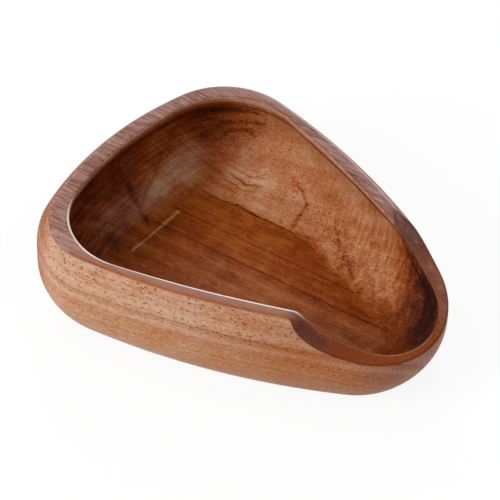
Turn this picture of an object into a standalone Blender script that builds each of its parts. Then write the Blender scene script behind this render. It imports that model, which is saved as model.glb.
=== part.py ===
"""A wooden coffee dosing tray with a low pouring lip.

Four boards are glued edge to edge into one blank, and the blank is carved to a rounded triangle.
The long axis is X and the pouring lip is at +X. The origin is on the table, under the tray's middle.
All sizes are in metres and all angles in degrees.
"""
import math
from dataclasses import astuple, dataclass

import bmesh
import bpy
from mathutils import Vector

# The whole tray
LENGTH = 0.150
WIDTH = 0.1206
HEIGHT = 0.0375

# The outside at its widest level, seen from above
WAIST_HEIGHT = 0.0190
WAIST_TIP_RADIUS = 0.0322
WAIST_CORNER_RADIUS = 0.0318
WAIST_SIDE_RADIUS = 0.267
WAIST_END_RADIUS = 0.1285

# How far the outside draws in above and below the waist, and how suddenly
RIM_DRAW_IN = 0.0056
RIM_CURVE = 4.4
BASE_DRAW_IN = 0.0087
BASE_CURVE = 2.1
RIM_EDGE_ROUND = 0.0008

# The hollow at its widest level, under the lip of the rim
HOLLOW_HEIGHT = 0.027
TIP_WALL = 0.0020
SIDE_WALL = 0.0078
END_WALL = 0.0098
HOLLOW_TIP_RADIUS = 0.0221
HOLLOW_CORNER_RADIUS = 0.0301
HOLLOW_SIDE_RADIUS = 0.469
HOLLOW_END_RADIUS = 0.1326

# The rim's inner lip, which stands in over the hollow
LIP_OVERHANG = 0.0018
LIP_FACE = 0.0018
LIP_CURVE = 3.0

# The flat floor, and the cove that runs up from it
FLOOR_THICKNESS = 0.007
TIP_COVE = 0.0220
SIDE_COVE = 0.0253
END_COVE = 0.0181
COVE_ANGLE = 72.0
FLOOR_TIP_RADIUS = 0.0078
FLOOR_CORNER_RADIUS = 0.004
FLOOR_SIDE_RADIUS = 0.120
FLOOR_END_RADIUS = 0.178

# The pouring lip: a scoop across the tray that starts on the rim and flattens towards the tip
SPOUT_LENGTH = 0.0372
SPOUT_TIP_HEIGHT = 0.0210
SPOUT_RADIUS = 0.0508
SPOUT_SLOPE = 17.8

# The glue lines, which run with the grain, and the boards between them
GRAIN_TURN = 4.0
FIRST_GLUE_LINE = 0.0042
NEAR_STRIP_WIDTH = 0.0103
FAR_STRIP_WIDTH = 0.0133
GLUE_GAP = 0.0003

# How finely the curves are divided
TIP_STEPS = 20
SIDE_STEPS = 14
CORNER_STEPS = 14
END_STEPS = 10
WALL_STEPS = 6
LIP_STEPS = 3
COVE_STEPS = 8
SPOUT_STEPS = 12

# How far a cutter passes the wood that it cuts
OVERCUT = 0.010

# Oiled wood of each board, as linear colours, and how rough its polish is
NEAR_BOARD_COLOUR = (0.42, 0.19, 0.085)
NEAR_STRIP_COLOUR = (0.28, 0.105, 0.040)
FAR_STRIP_COLOUR = (0.34, 0.135, 0.045)
FAR_BOARD_COLOUR = (0.38, 0.165, 0.070)
WOOD_ROUGHNESS = 0.45


@dataclass
class Outline:
    """A rounded triangle: a tip circle, two corner circles, and the arcs that run on from them."""
    front: float
    back: float
    half_width: float
    tip_radius: float
    corner_radius: float
    side_radius: float
    end_radius: float

    def grown(self, distance):
        """The parallel outline, this far outside."""
        return Outline(self.front + distance, self.back - distance,
                       *(size + distance for size in astuple(self)[2:]))

    def blended(self, other, share):
        """An outline between this one and another."""
        pairs = zip(astuple(self), astuple(other))
        return Outline(*(own + (its - own) * share for own, its in pairs))

    def points(self, height):
        """The outline's points at a height, anticlockwise from the tip."""
        tip = Vector((self.front - self.tip_radius, 0))
        corner_y = self.half_width - self.corner_radius
        end = Vector((self.back + self.end_radius, 0))
        corner_x = end.x - math.sqrt((self.end_radius - self.corner_radius) ** 2 - corner_y ** 2)
        corner = Vector((corner_x, corner_y))
        side = self.side_centre(tip, corner)
        leave_tip = math.atan2(tip.y - side.y, tip.x - side.x)
        leave_side = math.atan2(corner.y - side.y, corner.x - side.x)
        leave_corner = math.atan2(corner.y - end.y, corner.x - end.x)
        half = []
        half += arc(tip, self.tip_radius, 0, leave_tip, TIP_STEPS // 2)
        half += arc(side, self.side_radius, leave_tip, leave_side, SIDE_STEPS)
        half += arc(corner, self.corner_radius, leave_side, leave_corner, CORNER_STEPS)
        half += arc(end, self.end_radius, leave_corner, math.pi, END_STEPS // 2)
        mirrored = [Vector((p.x, -p.y)) for p in reversed(half[1:])]
        back_point = Vector((self.back, 0))
        return [p.to_3d() + Vector((0, 0, height)) for p in half + [back_point] + mirrored]

    def side_centre(self, tip, corner):
        """The centre of the long arc that touches the tip circle and a corner circle from outside."""
        to_tip = self.side_radius - self.tip_radius
        to_corner = self.side_radius - self.corner_radius
        between = corner - tip
        span = between.length
        along = (to_tip ** 2 - to_corner ** 2 + span ** 2) / (2 * span)
        across = math.sqrt(to_tip ** 2 - along ** 2)
        direction = between.normalized()
        return tip + direction * along + Vector((-direction.y, direction.x)) * across


def arc(centre, radius, start, stop, steps):
    """Points of an arc, without its last one."""
    turns = [start + (stop - start) * i / steps for i in range(steps)]
    return [centre + radius * Vector((math.cos(turn), math.sin(turn))) for turn in turns]


def loft(name, collection, sections):
    """A closed body through outlines that have the same number of points, bottom to top."""
    body = bmesh.new()
    rings = [[body.verts.new(point) for point in section] for section in sections]
    for low, high in zip(rings, rings[1:]):
        for i, corner in enumerate(low):
            after = (i + 1) % len(low)
            body.faces.new((corner, low[after], high[after], high[i]))
    body.faces.new(reversed(rings[0]))
    body.faces.new(rings[-1])
    bmesh.ops.recalc_face_normals(body, faces=body.faces[:])
    mesh = bpy.data.meshes.new(name)
    body.to_mesh(mesh)
    body.free()
    return add_object(name, collection, mesh)


def add_object(name, collection, data):
    """A new object in a collection."""
    new = bpy.data.objects.new(name, data)
    collection.objects.link(new)
    return new


def make_cutter(cutter):
    """Marks an object as a shape that only cuts."""
    cutter.hide_render = True
    cutter.display_type = 'WIRE'


def outer_sections():
    """Outlines of the outside, from the table to the rim."""
    waist = Outline(LENGTH / 2, -LENGTH / 2, WIDTH / 2, WAIST_TIP_RADIUS, WAIST_CORNER_RADIUS,
                    WAIST_SIDE_RADIUS, WAIST_END_RADIUS)
    sections = []
    for i in range(WALL_STEPS):
        share = 1 - i / WALL_STEPS
        height = WAIST_HEIGHT * (1 - share)
        sections.append(waist.grown(-BASE_DRAW_IN * share ** BASE_CURVE).points(height))
    rise = HEIGHT - RIM_EDGE_ROUND - WAIST_HEIGHT
    for i in range(WALL_STEPS + 1):
        share = math.sin(math.pi / 2 * i / WALL_STEPS)
        draw_in = (RIM_DRAW_IN - RIM_EDGE_ROUND) * share ** RIM_CURVE
        sections.append(waist.grown(-draw_in).points(WAIST_HEIGHT + rise * share))
    sections.append(waist.grown(-RIM_DRAW_IN).points(HEIGHT))
    return sections


def hollow_sections():
    """Outlines of the hollow, from the floor up to the lip and past the rim."""
    widest = Outline(LENGTH / 2 - TIP_WALL, END_WALL - LENGTH / 2, WIDTH / 2 - SIDE_WALL,
                     HOLLOW_TIP_RADIUS, HOLLOW_CORNER_RADIUS, HOLLOW_SIDE_RADIUS, HOLLOW_END_RADIUS)
    floor = Outline(widest.front - TIP_COVE, widest.back + END_COVE, widest.half_width - SIDE_COVE,
                    FLOOR_TIP_RADIUS, FLOOR_CORNER_RADIUS, FLOOR_SIDE_RADIUS, FLOOR_END_RADIUS)
    sections = []
    full_turn = math.radians(COVE_ANGLE)
    for i in range(COVE_STEPS + 1):
        turn = full_turn * (1 - i / COVE_STEPS)
        inwards = (1 - math.cos(turn)) / (1 - math.cos(full_turn))
        downwards = math.sin(turn) / math.sin(full_turn)
        height = HOLLOW_HEIGHT - (HOLLOW_HEIGHT - FLOOR_THICKNESS) * downwards
        sections.append(widest.blended(floor, inwards).points(height))
    lip_height = HEIGHT - LIP_FACE
    for i in range(1, LIP_STEPS + 1):
        share = i / LIP_STEPS
        height = HOLLOW_HEIGHT + (lip_height - HOLLOW_HEIGHT) * share
        sections.append(widest.grown(-LIP_OVERHANG * share ** LIP_CURVE).points(height))
    sections.append(widest.grown(-LIP_OVERHANG).points(HEIGHT + OVERCUT))
    return sections


def spout_outline():
    """Side view of the scoop, as X and Z: a curve down from the rim, then a slope past the tip."""
    slope = math.radians(SPOUT_SLOPE)
    down = Vector((math.cos(slope), -math.sin(slope)))
    up = Vector((math.sin(slope), math.cos(slope)))
    start = Vector((LENGTH / 2 - SPOUT_LENGTH, HEIGHT))
    tip = Vector((LENGTH / 2, SPOUT_TIP_HEIGHT))
    to_start = start - tip - up * SPOUT_RADIUS
    along = math.sqrt(SPOUT_RADIUS ** 2 - to_start.dot(up) ** 2)
    centre = tip + up * SPOUT_RADIUS + down * (to_start.dot(down) + along)
    steepest = math.atan2(start.y - centre.y, start.x - centre.x) % (2 * math.pi)
    flattest = 3 * math.pi / 2 - slope
    curve = arc(centre, SPOUT_RADIUS, steepest, flattest, SPOUT_STEPS)
    curve.append(centre - up * SPOUT_RADIUS)
    past_tip = tip + down * OVERCUT
    top = HEIGHT + OVERCUT
    steep_direction = (curve[0] - curve[1]).normalized()
    above_start = curve[0] + steep_direction * (top - HEIGHT) / steep_direction.y
    return [above_start] + curve + [past_tip, Vector((past_tip.x, top))]


def add_spout_cutter(collection):
    """The scoop's side view, extruded across the tray."""
    flat = bpy.data.curves.new("spout_outline", 'CURVE')
    flat.dimensions = '2D'
    flat.fill_mode = 'BOTH'
    flat.extrude = WIDTH / 2 + OVERCUT
    points = spout_outline()
    spline = flat.splines.new('POLY')
    spline.points.add(len(points) - 1)
    for slot, point in zip(spline.points, points):
        slot.co = (point.x, point.y, 0, 1)
    spline.use_cyclic_u = True
    curve_object = add_object("spout_outline", collection, flat)
    curve_object.rotation_euler = (math.pi / 2, 0, 0)
    bpy.context.view_layer.update()
    evaluated = curve_object.evaluated_get(bpy.context.evaluated_depsgraph_get())
    mesh = bpy.data.meshes.new_from_object(evaluated)
    solid = bmesh.new()
    solid.from_mesh(mesh)
    bmesh.ops.remove_doubles(solid, verts=solid.verts, dist=0.00001)
    bmesh.ops.recalc_face_normals(solid, faces=solid.faces[:])
    solid.to_mesh(mesh)
    solid.free()
    cutter = add_object("spout_cutter", collection, mesh)
    cutter.matrix_world = curve_object.matrix_world
    bpy.data.objects.remove(curve_object)
    make_cutter(cutter)
    return cutter


def add_board_space(name, collection, near_edge, far_edge):
    """The block of space that one board fills, turned with the grain."""
    bpy.ops.mesh.primitive_cube_add(size=1)
    space = bpy.context.active_object
    space.name = name
    for holder in space.users_collection:
        holder.objects.unlink(space)
    collection.objects.link(space)
    turn = math.radians(GRAIN_TURN)
    middle = (near_edge + far_edge) / 2
    space.rotation_euler = (0, 0, turn)
    space.location = (-math.sin(turn) * middle, math.cos(turn) * middle, HEIGHT / 2)
    space.scale = (LENGTH + WIDTH, far_edge - near_edge, HEIGHT + 2 * OVERCUT)
    make_cutter(space)
    return space


def wood(name, colour):
    """Oiled wood with a satin polish."""
    material = bpy.data.materials.new(name)
    material.use_nodes = True
    shader = material.node_tree.nodes["Principled BSDF"]
    shader.inputs["Base Color"].default_value = (*colour, 1)
    shader.inputs["Roughness"].default_value = WOOD_ROUGHNESS
    shader.inputs["Metallic"].default_value = 0
    return material


def carve(board, operation, cutter):
    """Cuts a board with another shape, or keeps only what is inside it."""
    cut = board.modifiers.new(cutter.name, 'BOOLEAN')
    cut.operation = operation
    cut.solver = 'EXACT'
    cut.object = cutter


def board_edges():
    """Each board's name, colour and two edges, across the grain."""
    beyond = LENGTH + WIDTH
    first = FIRST_GLUE_LINE
    second = first + NEAR_STRIP_WIDTH
    third = second + FAR_STRIP_WIDTH
    half_gap = GLUE_GAP / 2
    return [
        ("near_board", NEAR_BOARD_COLOUR, -beyond, first - half_gap),
        ("near_strip", NEAR_STRIP_COLOUR, first + half_gap, second - half_gap),
        ("far_strip", FAR_STRIP_COLOUR, second + half_gap, third - half_gap),
        ("far_board", FAR_BOARD_COLOUR, third + half_gap, beyond),
    ]


def build_tray():
    """Makes the four boards, each carved from the same blank."""
    scene_root = bpy.context.scene.collection
    tray = bpy.data.collections.new("coffee_dosing_tray")
    cutters = bpy.data.collections.new("cutters")
    scene_root.children.link(tray)
    scene_root.children.link(cutters)
    whole = add_object("tray_origin", tray, None)
    hollow = loft("hollow_cutter", cutters, hollow_sections())
    make_cutter(hollow)
    spout = add_spout_cutter(cutters)
    outside = outer_sections()
    for name, colour, near_edge, far_edge in board_edges():
        board = loft(name, tray, outside)
        board.parent = whole
        board.data.shade_smooth()
        board.data.set_sharp_from_angle(angle=math.radians(30))
        board.data.materials.append(wood(f"{name}_wood", colour))
        carve(board, 'DIFFERENCE', hollow)
        carve(board, 'DIFFERENCE', spout)
        carve(board, 'INTERSECT', add_board_space(f"{name}_space", cutters, near_edge, far_edge))


for old in list(bpy.data.objects):
    bpy.data.objects.remove(old)
build_tray()
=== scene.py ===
import math
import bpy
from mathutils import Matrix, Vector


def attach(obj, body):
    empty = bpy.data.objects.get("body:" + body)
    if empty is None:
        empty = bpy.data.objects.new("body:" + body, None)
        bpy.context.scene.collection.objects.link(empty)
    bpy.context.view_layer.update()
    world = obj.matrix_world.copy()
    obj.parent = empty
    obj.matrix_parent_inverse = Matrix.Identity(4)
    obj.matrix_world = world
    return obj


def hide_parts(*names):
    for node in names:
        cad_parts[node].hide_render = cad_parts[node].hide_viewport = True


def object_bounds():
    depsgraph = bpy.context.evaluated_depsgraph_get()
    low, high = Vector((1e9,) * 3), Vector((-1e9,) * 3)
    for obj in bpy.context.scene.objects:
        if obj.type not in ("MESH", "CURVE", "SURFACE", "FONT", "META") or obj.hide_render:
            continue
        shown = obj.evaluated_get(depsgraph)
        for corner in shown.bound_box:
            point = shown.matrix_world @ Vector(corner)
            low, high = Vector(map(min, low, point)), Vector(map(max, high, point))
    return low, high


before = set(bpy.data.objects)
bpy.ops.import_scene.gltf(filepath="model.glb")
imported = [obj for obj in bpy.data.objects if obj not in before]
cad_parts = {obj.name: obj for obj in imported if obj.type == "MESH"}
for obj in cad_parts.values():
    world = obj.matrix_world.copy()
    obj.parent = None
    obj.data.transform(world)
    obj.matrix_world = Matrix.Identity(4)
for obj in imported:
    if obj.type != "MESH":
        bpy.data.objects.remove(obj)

from types import SimpleNamespace

import bmesh
import bpy
from mathutils import Matrix, Vector

cad_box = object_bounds()

# The blank is routed from one glued-up board to a rounded triangle with a bulging outside and a
# hollow that undercuts its flat rim, and a scoop lowers one end of the wall to a pouring lip. It
# is sanded all over by hand. Its surface follows one rule: a wall section that is carried round.
BLANK_SIZES = {
    "Length": cad_box[1].x - cad_box[0].x,
    "Width": 0.1205,
    "Height": cad_box[1].z,
}
OUTSIDE_SIZES = {
    "Waist Height": 0.0190,
    "Waist Tip Radius": 0.0322,
    "Waist Corner Radius": 0.0318,
    "Waist Side Radius": 0.267,
    "Waist End Radius": 0.1285,
    "Rim Draw-in": 0.0056,
    "Rim Curve": 4.4,
    "Base Draw-in": 0.0087,
    "Base Curve": 2.1,
}
HOLLOW_SIZES = {
    "Hollow Height": 0.027,
    "Tip Wall": 0.0020,
    "Side Wall": 0.0078,
    "End Wall": 0.0098,
    "Hollow Tip Radius": 0.0221,
    "Hollow Corner Radius": 0.0301,
    "Hollow Side Radius": 0.469,
    "Hollow End Radius": 0.1326,
    "Lip Overhang": 0.0018,
    "Lip Face": 0.0018,
    "Lip Curve": 3.0,
    "Floor Thickness": 0.007,
    "Tip Cove": 0.0220,
    "Side Cove": 0.0253,
    "End Cove": 0.0181,
    "Cove Angle": math.radians(72),
    "Floor Tip Radius": 0.0078,
    "Floor Corner Radius": 0.004,
    "Floor Side Radius": 0.120,
    "Floor End Radius": 0.178,
}
SPOUT_SIZES = {
    "Spout Length": 0.0372,
    "Spout Tip Height": 0.0210,
    "Spout Radius": 0.0508,
    "Spout Slope": math.radians(17.8),
    "Spout Start Round": 0.0010,
}
FINISH_SIZES = {
    "Base Round": 0.0015,
    "Rim Round": 0.0008,
    "Lip Round": 0.0006,
    "Crease Round": 0.0006,
    "Hand Sanding": 0.00012,
}
TRAY_SIZES = {**BLANK_SIZES, **OUTSIDE_SIZES, **HOLLOW_SIZES, **SPOUT_SIZES, **FINISH_SIZES}
AROUND_STEPS = 560
# Steps in each band of the wall's section. The surface keeps a count of these bands as "section":
# 3 at the top of the outside, 4 to 5 on the flat rim, 6 to 7 down the hollow, 8 to 9 on the floor.
SECTION_BANDS = {
    "base": 8,
    "base edge": 5,
    "outside": 30,
    "rim's outer edge": 5,
    "rim": 6,
    "rim's inner edge": 8,
    "hollow": 48,
    "floor crease": 3,
    "floor": 14,
}
# Where each of the outline's four arcs ends, on the way from the tip to the middle of the back
TIP_ARC_ENDS = 0.18
SIDE_ARC_ENDS = 0.60
CORNER_ARC_ENDS = 0.84
OUTLINE_SIZES = ("Front", "Back", "Half Width", "Tip Radius", "Corner Radius", "Side Radius", "End Radius")
TOP_CORRECTIONS = 6
WELD_DISTANCE = 0.000001
SANDING_WAVES_PER_METRE = 45
SANDING_WAVE_DETAIL = 1.5
# Sanding starts at the base, and it is full from this share of the waist's height up
SANDED_FROM = 0.125


class Value:
    """A number that a node tree works out. Arithmetic on it adds Math nodes to the tree."""

    def __init__(self, tree, socket):
        self.tree = tree
        self.socket = socket

    def math(self, operation, *others):
        node = self.tree.nodes.new("ShaderNodeMath")
        node.operation = operation
        for slot, value in zip(node.inputs, (self, *others)):
            plug(self.tree, slot, value)
        return Value(self.tree, node.outputs[0])

    def __add__(self, other):
        return self.math("ADD", other)

    def __sub__(self, other):
        return self.math("SUBTRACT", other)

    def __mul__(self, other):
        return self.math("MULTIPLY", other)

    def __truediv__(self, other):
        return self.math("DIVIDE", other)

    def __pow__(self, other):
        return self.math("POWER", other)

    def __neg__(self):
        return self.math("MULTIPLY", -1)

    def __rsub__(self, other):
        return -self + other

    __radd__ = __add__
    __rmul__ = __mul__

    def at_least(self, other):
        return self.math("MAXIMUM", other)

    def at_most(self, other):
        return self.math("MINIMUM", other)

    def in_one(self):
        return self.at_least(0).at_most(1)

    def root(self):
        return self.at_least(0).math("SQRT")

    def sine(self):
        return self.math("SINE")

    def cosine(self):
        return self.math("COSINE")

    def towards(self, other, share):
        return self + (other - self) * share

    def ease(self, start, stop):
        """0 up to the start, 1 from the stop on, and a smooth step between. It also runs backwards."""
        node = self.tree.nodes.new("ShaderNodeMapRange")
        node.interpolation_type = 'SMOOTHSTEP'
        for slot, value in zip(node.inputs, (self, start, stop)):
            plug(self.tree, slot, value)
        return Value(self.tree, node.outputs[0])

    def within(self, start, stop, soft):
        """1 from the start to the stop, with a soft step at either side."""
        return self.ease(start - soft, start) * self.ease(stop + soft, stop)

    def near(self, number, reach):
        """1 at the number, and down to 0 at the reach on either side of it."""
        return (1 - (self - number).math("ABSOLUTE") / reach).at_least(0)


def plug(tree, slot, value):
    """Feeds a node's input from a value of its tree, or sets it to a plain number."""
    if isinstance(value, Value):
        tree.links.new(value.socket, slot)
    else:
        slot.default_value = value


def combine(tree, x=0.0, y=0.0, z=0.0):
    """A vector from its three parts."""
    joined = tree.nodes.new("ShaderNodeCombineXYZ")
    for slot, part in zip(joined.inputs, (x, y, z)):
        plug(tree, slot, part)
    return Value(tree, joined.outputs[0])


def components(vector):
    """The three parts of a vector."""
    split = vector.tree.nodes.new("ShaderNodeSeparateXYZ")
    plug(vector.tree, split.inputs[0], vector)
    return [Value(vector.tree, socket) for socket in split.outputs]


def vector_math(operation, vector, other, result="Vector"):
    """A step of vector arithmetic. The other operand is a value of the tree or three plain numbers."""
    tree = vector.tree
    node = tree.nodes.new("ShaderNodeVectorMath")
    node.operation = operation
    plug(tree, node.inputs[0], vector)
    plug(tree, node.inputs["Scale" if operation == 'SCALE' else 1], other)
    return Value(tree, node.outputs[result])


def add_object(name, data):
    """A new object in the scene."""
    added = bpy.data.objects.new(name, data)
    bpy.context.scene.collection.objects.link(added)
    return added


def new_group(name, inputs, outputs, tree_type='GeometryNodeTree'):
    """An empty node group, and the values of its inputs by name."""
    group = bpy.data.node_groups.new(name, tree_type)
    for text in inputs:
        group.interface.new_socket(text, in_out='INPUT', socket_type="NodeSocketFloat")
    for text, kind in outputs.items():
        group.interface.new_socket(text, in_out='OUTPUT', socket_type=kind)
    given = group.nodes.new("NodeGroupInput")
    return group, {socket.name: Value(group, socket) for socket in given.outputs if socket.name}


def finish_group(group, **results):
    """Hands a group's results out, each to the output of its name."""
    end = group.nodes.new("NodeGroupOutput")
    for name, value in results.items():
        plug(group, end.inputs[name], value)


def use_group(tree, group, values):
    """Uses a node group in a tree, with its inputs taken by name, and gives its outputs by name."""
    node = tree.nodes.new(tree.bl_idname.replace("NodeTree", "NodeGroup"))
    node.node_tree = group
    for slot in node.inputs:
        plug(tree, slot, values[slot.name])
    return {socket.name: Value(tree, socket) for socket in node.outputs}


def make_outline_group():
    """One point of a rounded triangle: a tip circle, two corner circles and the arcs between them."""
    group, size = new_group("Rounded triangle", OUTLINE_SIZES + ("Around",),
                            {"X": "NodeSocketFloat", "Y": "NodeSocketFloat"})
    tip_x = size["Front"] - size["Tip Radius"]
    corner_y = size["Half Width"] - size["Corner Radius"]
    end_x = size["Back"] + size["End Radius"]
    corner_x = end_x - ((size["End Radius"] - size["Corner Radius"]) ** 2 - corner_y ** 2).root()
    to_tip = size["Side Radius"] - size["Tip Radius"]
    to_corner = size["Side Radius"] - size["Corner Radius"]
    across_x = corner_x - tip_x
    span = (across_x ** 2 + corner_y ** 2).root()
    along = (to_tip ** 2 - to_corner ** 2 + span ** 2) / (span * 2)
    beside = (to_tip ** 2 - along ** 2).root()
    side_x = tip_x + (across_x * along - corner_y * beside) / span
    side_y = (corner_y * along + across_x * beside) / span
    leave_tip = (-side_y).math("ARCTAN2", tip_x - side_x)
    leave_side = (corner_y - side_y).math("ARCTAN2", corner_x - side_x)
    leave_corner = corner_y.math("ARCTAN2", corner_x - end_x)
    flank = size["Around"] - 0.5
    way = 1 - flank.math("ABSOLUTE") * 2
    stops = (0, TIP_ARC_ENDS, SIDE_ARC_ENDS, CORNER_ARC_ENDS, 1)
    shares = [((way - start) / (stop - start)).in_one() for start, stop in zip(stops, stops[1:])]
    turn = (leave_tip * shares[0] + (leave_side - leave_tip) * shares[1]
            + (leave_corner - leave_side) * shares[2] + (math.pi - leave_corner) * shares[3])
    centre_x, centre_y, radius = end_x, end_x * 0, size["End Radius"]
    arcs = ((CORNER_ARC_ENDS, corner_x, corner_y, size["Corner Radius"]),
            (SIDE_ARC_ENDS, side_x, side_y, size["Side Radius"]),
            (TIP_ARC_ENDS, tip_x, tip_x * 0, size["Tip Radius"]))
    for arc_end, arc_x, arc_y, arc_radius in arcs:
        on_arc = way.math("LESS_THAN", arc_end)
        centre_x = centre_x.towards(arc_x, on_arc)
        centre_y = centre_y.towards(arc_y, on_arc)
        radius = radius.towards(arc_radius, on_arc)
    finish_group(group, X=centre_x + radius * turn.cosine(),
                 Y=(centre_y + radius * turn.sine()) * -flank.math("SIGN"))
    return group


def make_wall_group(name, sizes, outline_group, find_outline):
    """One side of the wall: the point at a height and a way round, and its X by itself."""
    group, size = new_group(name, (*BLANK_SIZES, *sizes, "Around", "At Height"),
                            {"Point": "NodeSocketVector", "X": "NodeSocketFloat"})
    outline = dict(zip(OUTLINE_SIZES, find_outline(size)), Around=size["Around"])
    flat = use_group(group, outline_group, outline)
    finish_group(group, Point=combine(group, flat["X"], flat["Y"], size["At Height"]), X=flat["X"])
    return group


def grown(sizes, distance):
    """The sizes of the parallel outline, this far outside."""
    front, back, *others = sizes
    return [front + distance, back - distance] + [other + distance for other in others]


def outside_outline(size):
    """The outside, drawn in above and below its waist."""
    half_length = size["Length"] / 2
    waist = [half_length, -half_length, size["Width"] / 2, size["Waist Tip Radius"],
             size["Waist Corner Radius"], size["Waist Side Radius"], size["Waist End Radius"]]
    height = size["At Height"]
    above = ((height - size["Waist Height"]) / (size["Height"] - size["Waist Height"])).in_one()
    below = ((size["Waist Height"] - height) / size["Waist Height"]).in_one()
    draw_in = (above ** size["Rim Curve"] * size["Rim Draw-in"]
               + below ** size["Base Curve"] * size["Base Draw-in"])
    return grown(waist, -draw_in)


def hollow_outline(size):
    """The hollow: a lip that stands in over it, and a cove that runs down to the floor."""
    half_length = size["Length"] / 2
    widest = [half_length - size["Tip Wall"], size["End Wall"] - half_length,
              size["Width"] / 2 - size["Side Wall"], size["Hollow Tip Radius"],
              size["Hollow Corner Radius"], size["Hollow Side Radius"], size["Hollow End Radius"]]
    floor = [widest[0] - size["Tip Cove"], widest[1] + size["End Cove"], widest[2] - size["Side Cove"],
             size["Floor Tip Radius"], size["Floor Corner Radius"], size["Floor Side Radius"],
             size["Floor End Radius"]]
    height = size["At Height"]
    lip_rise = size["Height"] - size["Lip Face"] - size["Hollow Height"]
    lip_share = ((height - size["Hollow Height"]) / lip_rise).in_one()
    overhang = lip_share ** size["Lip Curve"] * size["Lip Overhang"]
    down = ((size["Hollow Height"] - height) / (size["Hollow Height"] - size["Floor Thickness"])).in_one()
    turn = (down * size["Cove Angle"].sine()).math("ARCSINE")
    inwards = (1 - turn.cosine()) / (1 - size["Cove Angle"].cosine())
    return [one.towards(other, inwards) for one, other in zip(grown(widest, -overhang), floor)]


def make_scoop_group():
    """Height of the wall's top at an X: the flat rim, then the scoop's curve, then its slope."""
    group, size = new_group("Scoop", ("Length", "Height", *SPOUT_SIZES, "X"), {"Top": "NodeSocketFloat"})
    sine, cosine = size["Spout Slope"].sine(), size["Spout Slope"].cosine()
    radius = size["Spout Radius"]
    to_start_x = -size["Spout Length"] - sine * radius
    to_start_z = size["Height"] - size["Spout Tip Height"] - cosine * radius
    rise = to_start_x * sine + to_start_z * cosine
    run = to_start_x * cosine - to_start_z * sine + (radius ** 2 - rise ** 2).root()
    centre_x = size["Length"] / 2 + sine * radius + cosine * run
    centre_z = size["Spout Tip Height"] + cosine * radius - sine * run
    curve = centre_z - (radius ** 2 - (size["X"] - centre_x) ** 2).root()
    slope = size["Spout Tip Height"] + (size["Length"] / 2 - size["X"]) * size["Spout Slope"].math("TANGENT")
    on_slope = size["X"].math("GREATER_THAN", centre_x - sine * radius)
    top = curve.towards(slope, on_slope).math("SMOOTH_MIN", size["Height"], size["Spout Start Round"])
    finish_group(group, Top=top)
    return group


def distance(one, other):
    """How far one point is from another."""
    return vector_math('DISTANCE', one, other, "Value")


def between(one, other, share):
    """The point at a share of the way from one point to another."""
    mix = one.tree.nodes.new("ShaderNodeMix")
    mix.data_type = 'VECTOR'
    mix.clamp_factor = False
    for slot, value in zip((mix.inputs["Factor"], mix.inputs[4], mix.inputs[5]), (share, one, other)):
        plug(one.tree, slot, value)
    return Value(one.tree, mix.outputs[1])


def straight(start, stop):
    """A straight band of the section, as a function of the share of the way along it."""
    return lambda share: between(start, stop, share)


def fillet(start, corner, stop):
    """A band that rounds a corner, as a function of the share of the way along it."""
    return lambda share: between(between(start, corner, share), between(corner, stop, share), share)


def finish_surface(tree, size, grid, surface, kept_values):
    """Puts the flat grid in its place, closes it and sands it."""
    nodes, links = tree.nodes, tree.links

    # The values are kept first, because they are counted on the flat grid
    counted = grid.outputs["Mesh"]
    for name, value in kept_values.items():
        kept = nodes.new("GeometryNodeStoreNamedAttribute")
        kept.inputs["Name"].default_value = name
        links.new(counted, kept.inputs["Geometry"])
        plug(tree, kept.inputs["Value"], value)
        counted = kept.outputs[0]
    placed = nodes.new("GeometryNodeSetPosition")
    links.new(counted, placed.inputs["Geometry"])
    plug(tree, placed.inputs["Position"], surface)
    closed = nodes.new("GeometryNodeMergeByDistance")
    closed.inputs["Distance"].default_value = WELD_DISTANCE
    links.new(placed.outputs[0], closed.inputs["Geometry"])

    # Hand sanding leaves the walls very slightly wavy, always to the inside of the true shape
    waves = nodes.new("ShaderNodeTexNoise")
    waves.inputs["Scale"].default_value = SANDING_WAVES_PER_METRE
    waves.inputs["Detail"].default_value = SANDING_WAVE_DETAIL
    height = components(Value(tree, nodes.new("GeometryNodeInputPosition").outputs[0]))[2]
    sanded_depth = Value(tree, waves.outputs[0]).in_one() * size["Hand Sanding"]
    on_wall = (height / size["Waist Height"] / SANDED_FROM).in_one()
    outwards = Value(tree, nodes.new("GeometryNodeInputNormal").outputs[0])
    sanded = nodes.new("GeometryNodeSetPosition")
    links.new(closed.outputs[0], sanded.inputs["Geometry"])
    plug(tree, sanded.inputs["Offset"], vector_math('SCALE', outwards, -(sanded_depth * on_wall)))

    smooth = nodes.new("GeometryNodeSetShadeSmooth")
    links.new(sanded.outputs[0], smooth.inputs[0])
    finish_group(tree, Geometry=Value(tree, smooth.outputs[0]))


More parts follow.
